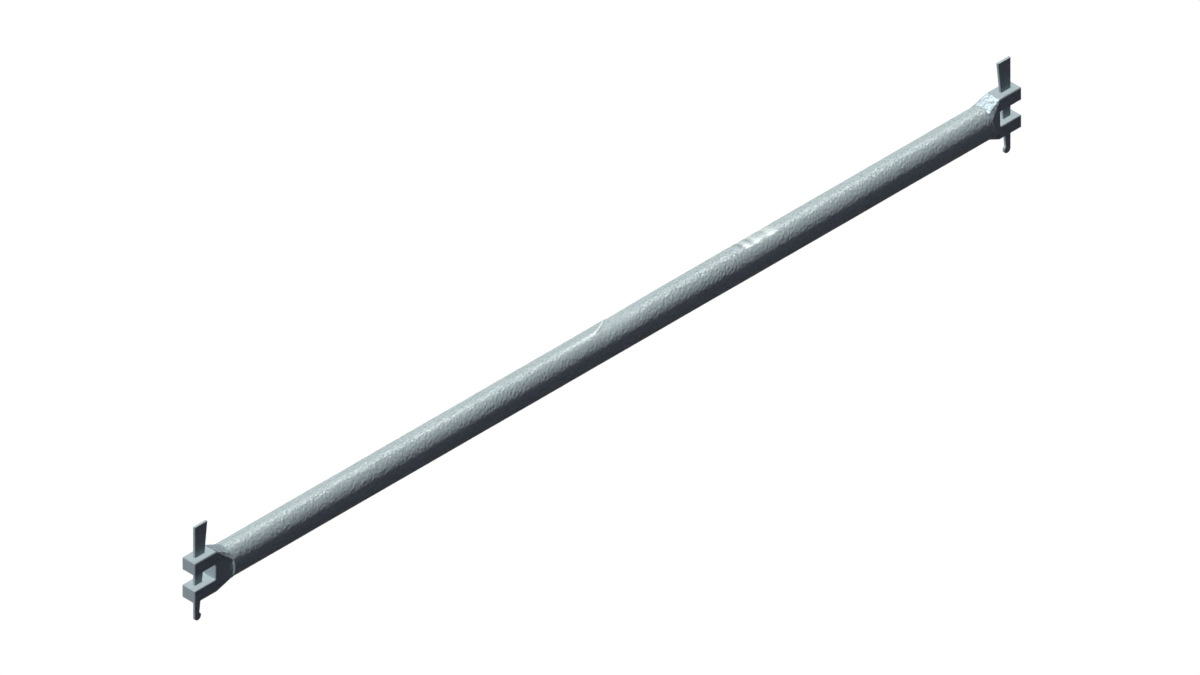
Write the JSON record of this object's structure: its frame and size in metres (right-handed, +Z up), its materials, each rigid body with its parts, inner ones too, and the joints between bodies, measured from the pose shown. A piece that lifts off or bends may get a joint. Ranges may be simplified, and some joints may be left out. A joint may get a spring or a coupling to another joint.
{
  "type": "scaffold ledger",
  "caption": "Galvanised tubular scaffold ledger with forked wedge heads that slide over the rosettes of two standards and lock with captive drop wedges.",
  "frame": {"origin": "on the tube's axis, at mid-length", "axes": "+X along the tube, +Z up as installed, the wedges' struck ends up"},
  "size_m": [1.522, 0.0494, 0.15],
  "materials": {
    "galvanised_tube": "hot-dip galvanised, dull, with fine wrinkles",
    "galvanised_forging": "hot-dip galvanised forging, dull",
    "weld_bead": "rippled bead under the zinc",
    "galvanised_wedge": "hot-dip galvanised plate, dull"
  },
  "bodies": {
    "ledger": {"tube": "galvanised_tube", "left_head": "galvanised_forging", "right_head": "galvanised_forging", "left_weld": "weld_bead", "right_weld": "weld_bead"},
    "left_drop_wedge": {"left_wedge": "galvanised_wedge"},
    "right_drop_wedge": {"right_wedge": "galvanised_wedge"}
  },
  "joints": [
    {"name": "left_wedge_lift", "type": "slide", "parent": "ledger", "child": "left_drop_wedge", "axis": [0, 0, 1], "range_m": [0, 0.07]},
    {"name": "right_wedge_lift", "type": "slide", "parent": "ledger", "child": "right_drop_wedge", "axis": [0, 0, 1], "range_m": [0, 0.07]}
  ]
}
